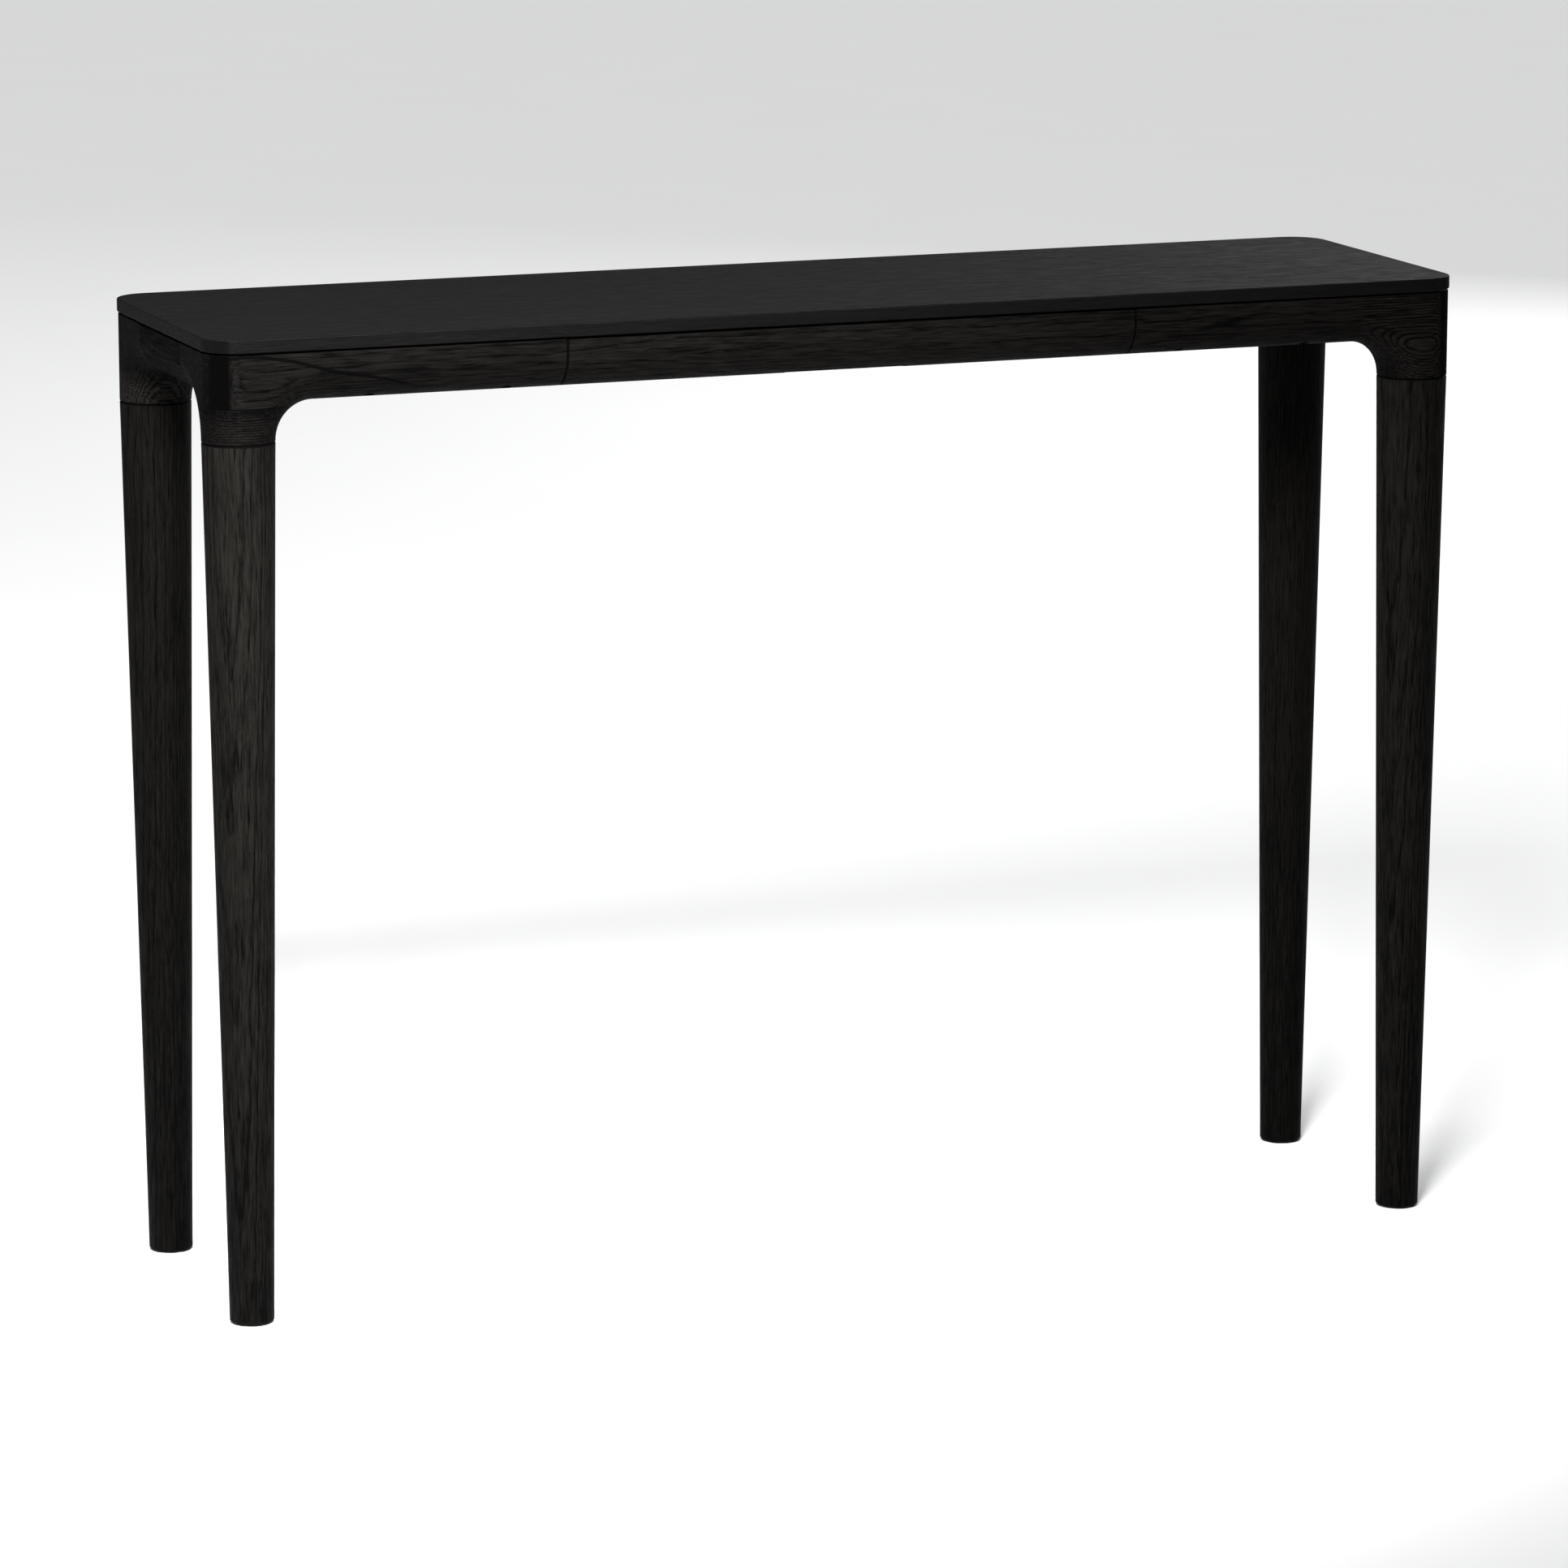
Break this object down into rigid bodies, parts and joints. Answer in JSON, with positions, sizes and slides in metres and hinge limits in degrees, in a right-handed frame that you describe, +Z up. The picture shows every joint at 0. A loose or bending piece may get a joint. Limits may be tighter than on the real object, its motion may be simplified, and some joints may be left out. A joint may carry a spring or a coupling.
{
  "type": "console table",
  "caption": "Slim console table with a thin top over a shadow gap, a rounded low apron holding one wide drawer, and four round tapered legs.",
  "frame": {"origin": "on the floor, under the middle of the table", "axes": "+X along the table to the right as seen from the front, -Y towards the front, +Z up"},
  "size_m": [1.2, 0.33, 0.89],
  "materials": {
    "black_oak": "black stained oak, matt open-pore lacquer",
    "drawer_wood": "black stained solid wood, matt",
    "drawer_panel": "black stained thin plywood, matt",
    "dowel_wood": "plain beech",
    "black_steel": "matt black powder coat",
    "zinc_steel": "zinc plated",
    "glide_plastic": "black nylon",
    "rubber": "matt black"
  },
  "bodies": {
    "table": {"leg_front_left": "black_oak", "corner_block_front_left": "black_oak", "knee_block_front_left": "black_oak", "leg_front_right": "black_oak", "corner_block_front_right": "black_oak", "knee_block_front_right": "black_oak", "leg_rear_left": "black_oak", "corner_block_rear_left": "black_oak", "knee_block_rear_left": "black_oak", "leg_rear_right": "black_oak", "corner_block_rear_right": "black_oak", "knee_block_rear_right": "black_oak", "top_panel": "black_oak", "front_rail_left": "black_oak", "front_rail_right": "black_oak", "rear_rail": "black_oak", "side_rail_left": "black_oak", "side_rail_right": "black_oak", "runner_bearer_left": "drawer_wood", "runner_bearer_right": "drawer_wood", "rail_dowels": "dowel_wood", "knee_dowels": "dowel_wood", "bearer_dowels": "dowel_wood", "front_tie_strip": "black_steel", "rear_spacer_strip": "black_steel", "left_spacer_strip": "black_steel", "right_spacer_strip": "black_steel", "top_screws": "zinc_steel", "leg_bolts": "zinc_steel", "leg_inserts": "zinc_steel", "slide_bearer_screws": "zinc_steel", "slide_outer_left": "zinc_steel", "slide_outer_right": "zinc_steel", "foot_pads": "glide_plastic", "drawer_bumpers": "rubber"},
    "drawer": {"drawer_front": "black_oak", "drawer_inner_front": "drawer_wood", "drawer_side_left": "drawer_wood", "drawer_side_right": "drawer_wood", "drawer_back": "drawer_wood", "drawer_bottom": "drawer_panel", "drawer_dowels": "dowel_wood", "drawer_front_screws": "zinc_steel", "slide_inner_left": "zinc_steel", "slide_inner_right": "zinc_steel", "slide_drawer_screws": "zinc_steel"},
    "cage_left": {"ball_cage_left": "zinc_steel"},
    "cage_right": {"ball_cage_right": "zinc_steel"}
  },
  "joints": [
    {"name": "drawer_slide", "type": "slide", "parent": "table", "child": "drawer", "axis": [0, -1, 0], "range_m": [0, 0.17]},
    {"name": "cage_left_roll", "type": "slide", "parent": "table", "child": "cage_left", "axis": [0, -1, 0], "range_m": [0, 0.085]},
    {"name": "cage_right_roll", "type": "slide", "parent": "table", "child": "cage_right", "axis": [0, -1, 0], "range_m": [0, 0.085]}
  ],
  "couplings": [
    {"joint": "cage_left_roll", "follows": "drawer_slide", "ratio": 0.5},
    {"joint": "cage_right_roll", "follows": "drawer_slide", "ratio": 0.5}
  ]
}
